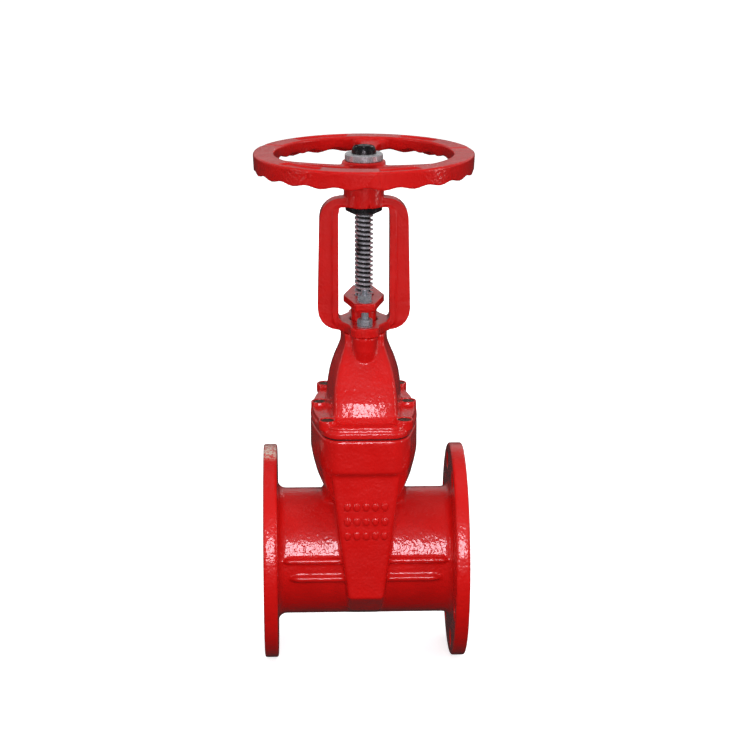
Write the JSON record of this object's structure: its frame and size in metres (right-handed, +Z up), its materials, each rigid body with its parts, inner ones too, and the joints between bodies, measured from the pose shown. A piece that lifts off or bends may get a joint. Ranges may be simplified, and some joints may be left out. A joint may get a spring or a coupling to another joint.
{
  "type": "gate valve",
  "caption": "Flanged resilient-seated gate valve with outside screw and yoke, rising stem and three-spoke handwheel, shown closed.",
  "frame": {"origin": "middle of the valve's footprint, at the height of the lowest point of the flanges", "axes": "+Z up along the stem, X along the pipe with the inlet at -X, -Y towards the front"},
  "size_m": [0.284, 0.285, 0.691],
  "materials": {
    "body_paint": "glossy red epoxy powder coat on cast ductile iron",
    "gasket_rubber": "black sheet rubber",
    "zinc_plate": "zinc plated steel",
    "sealing_wax": "dark brown sealing wax",
    "bronze": "machined bronze",
    "packing": "black graphite packing",
    "stainless": "turned stainless steel, greased thread",
    "primed_iron": "ductile iron under rubber",
    "wedge_rubber": "vulcanised black rubber",
    "nylon": "natural nylon",
    "black_steel": "black oxide steel, oiled",
    "key_steel": "bright drawn steel",
    "bright_steel": "turned bright plated steel"
  },
  "bodies": {
    "valve": {"body": "body_paint", "bonnet_gasket": "gasket_rubber", "bonnet": "body_paint", "bonnet_screw_1": "zinc_plate", "bonnet_screw_2": "zinc_plate", "bonnet_screw_3": "zinc_plate", "bonnet_screw_4": "zinc_plate", "bonnet_screw_5": "zinc_plate", "bonnet_screw_6": "zinc_plate", "wax_plug_1": "sealing_wax", "wax_plug_2": "sealing_wax", "wax_plug_3": "sealing_wax", "wax_plug_4": "sealing_wax", "wax_plug_5": "sealing_wax", "wax_plug_6": "sealing_wax", "backseat_bush": "bronze", "packing_ring_1": "packing", "packing_ring_2": "packing", "packing_ring_3": "packing", "gland_flange": "body_paint", "yoke": "body_paint", "stud_front": "zinc_plate", "yoke_washer_front": "zinc_plate", "yoke_nut_front": "zinc_plate", "gland_washer_front": "zinc_plate", "gland_nut_front": "zinc_plate", "stud_rear": "zinc_plate", "yoke_washer_rear": "zinc_plate", "yoke_nut_rear": "zinc_plate", "gland_washer_rear": "zinc_plate", "gland_nut_rear": "zinc_plate"},
    "handwheel_group": {"stem_nut": "black_steel", "thrust_washer_lower": "bronze", "thrust_washer_upper": "bronze", "wheel_key": "key_steel", "wheel_locknut": "bright_steel", "handwheel": "body_paint"},
    "stem_group": {"stem": "stainless", "wedge_core": "primed_iron", "wedge_rubber": "wedge_rubber", "wedge_nut": "bronze", "guide_shoe_front": "nylon", "guide_shoe_rear": "nylon"}
  },
  "joints": [
    {"name": "handwheel_turn", "type": "hinge", "parent": "valve", "child": "handwheel_group", "pos_m": [0, 0, 0.6425], "axis": [0, 0, 1], "range_deg": [0, 9180]},
    {"name": "stem_slide", "type": "slide", "parent": "valve", "child": "stem_group", "axis": [0, 0, 1], "range_m": [0, 0.153]}
  ],
  "couplings": [
    {"joint": "stem_slide", "follows": "handwheel_turn", "m_per_rad": 0.00095493}
  ]
}
